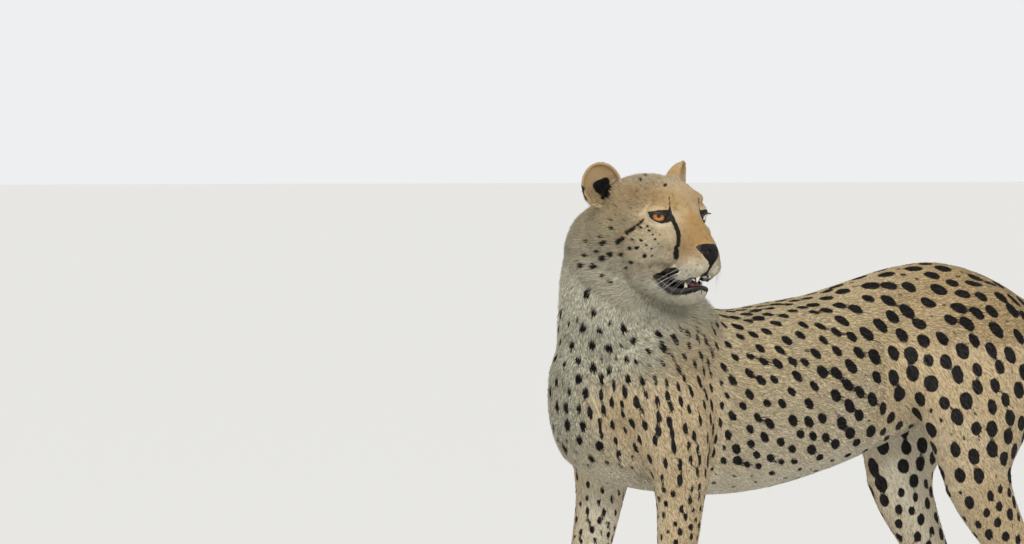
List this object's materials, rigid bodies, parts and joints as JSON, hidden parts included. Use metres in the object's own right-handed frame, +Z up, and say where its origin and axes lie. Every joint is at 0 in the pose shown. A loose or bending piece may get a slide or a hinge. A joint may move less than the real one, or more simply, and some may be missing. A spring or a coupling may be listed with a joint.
{
  "type": "cheetah",
  "caption": "Life-size standing cheetah in mid stride, its head turned to its left and its mouth slightly open, spotted tan coat with a ringed tail.",
  "frame": {"origin": "middle of the footprint of the whole animal, on the floor under the soles", "axes": "+Z up, -Y the way the body faces, +X the animal's left side"},
  "size_m": [0.3516, 1.2692, 0.9562],
  "materials": {
    "tan_coat": "short tan fur with solid black spots",
    "white_coat": "soft whitish fur",
    "nose_skin": "moist pebbled black skin",
    "lip_skin": "smooth black skin",
    "tongue_skin": "moist pink skin",
    "eyeball": "wet amber eye with a round black pupil",
    "tooth_enamel": "ivory enamel",
    "horn": "dark smooth horn",
    "paw_skin": "rough dark skin",
    "whisker_hair": "fine pale whiskers"
  },
  "bodies": {
    "root": {"chest": "tan_coat", "loins": "tan_coat", "neck": "tan_coat", "head": "tan_coat", "lower_jaw": "white_coat", "nose_pad": "nose_skin", "tongue": "tongue_skin", "tail_root": "tan_coat", "tail_middle": "tan_coat", "tail_tip": "tan_coat", "ear_left": "tan_coat", "eye_left": "eyeball", "upper_foreleg_left": "tan_coat", "forearm_left": "tan_coat", "forepaw_left": "tan_coat", "thigh_left": "tan_coat", "shank_left": "tan_coat", "hind_foot_left": "tan_coat", "hind_paw_left": "tan_coat", "forepaw_left_claw_1": "horn", "forepaw_left_claw_2": "horn", "forepaw_left_claw_3": "horn", "forepaw_left_claw_4": "horn", "hind_paw_left_claw_1": "horn", "hind_paw_left_claw_2": "horn", "hind_paw_left_claw_3": "horn", "hind_paw_left_claw_4": "horn", "ear_right": "tan_coat", "eye_right": "eyeball", "upper_foreleg_right": "tan_coat", "forearm_right": "tan_coat", "forepaw_right": "tan_coat", "thigh_right": "tan_coat", "shank_right": "tan_coat", "hind_foot_right": "tan_coat", "hind_paw_right": "tan_coat", "forepaw_right_claw_1": "horn", "forepaw_right_claw_2": "horn", "forepaw_right_claw_3": "horn", "forepaw_right_claw_4": "horn", "hind_paw_right_claw_1": "horn", "hind_paw_right_claw_2": "horn", "hind_paw_right_claw_3": "horn", "hind_paw_right_claw_4": "horn"}
  },
  "joints": []
}
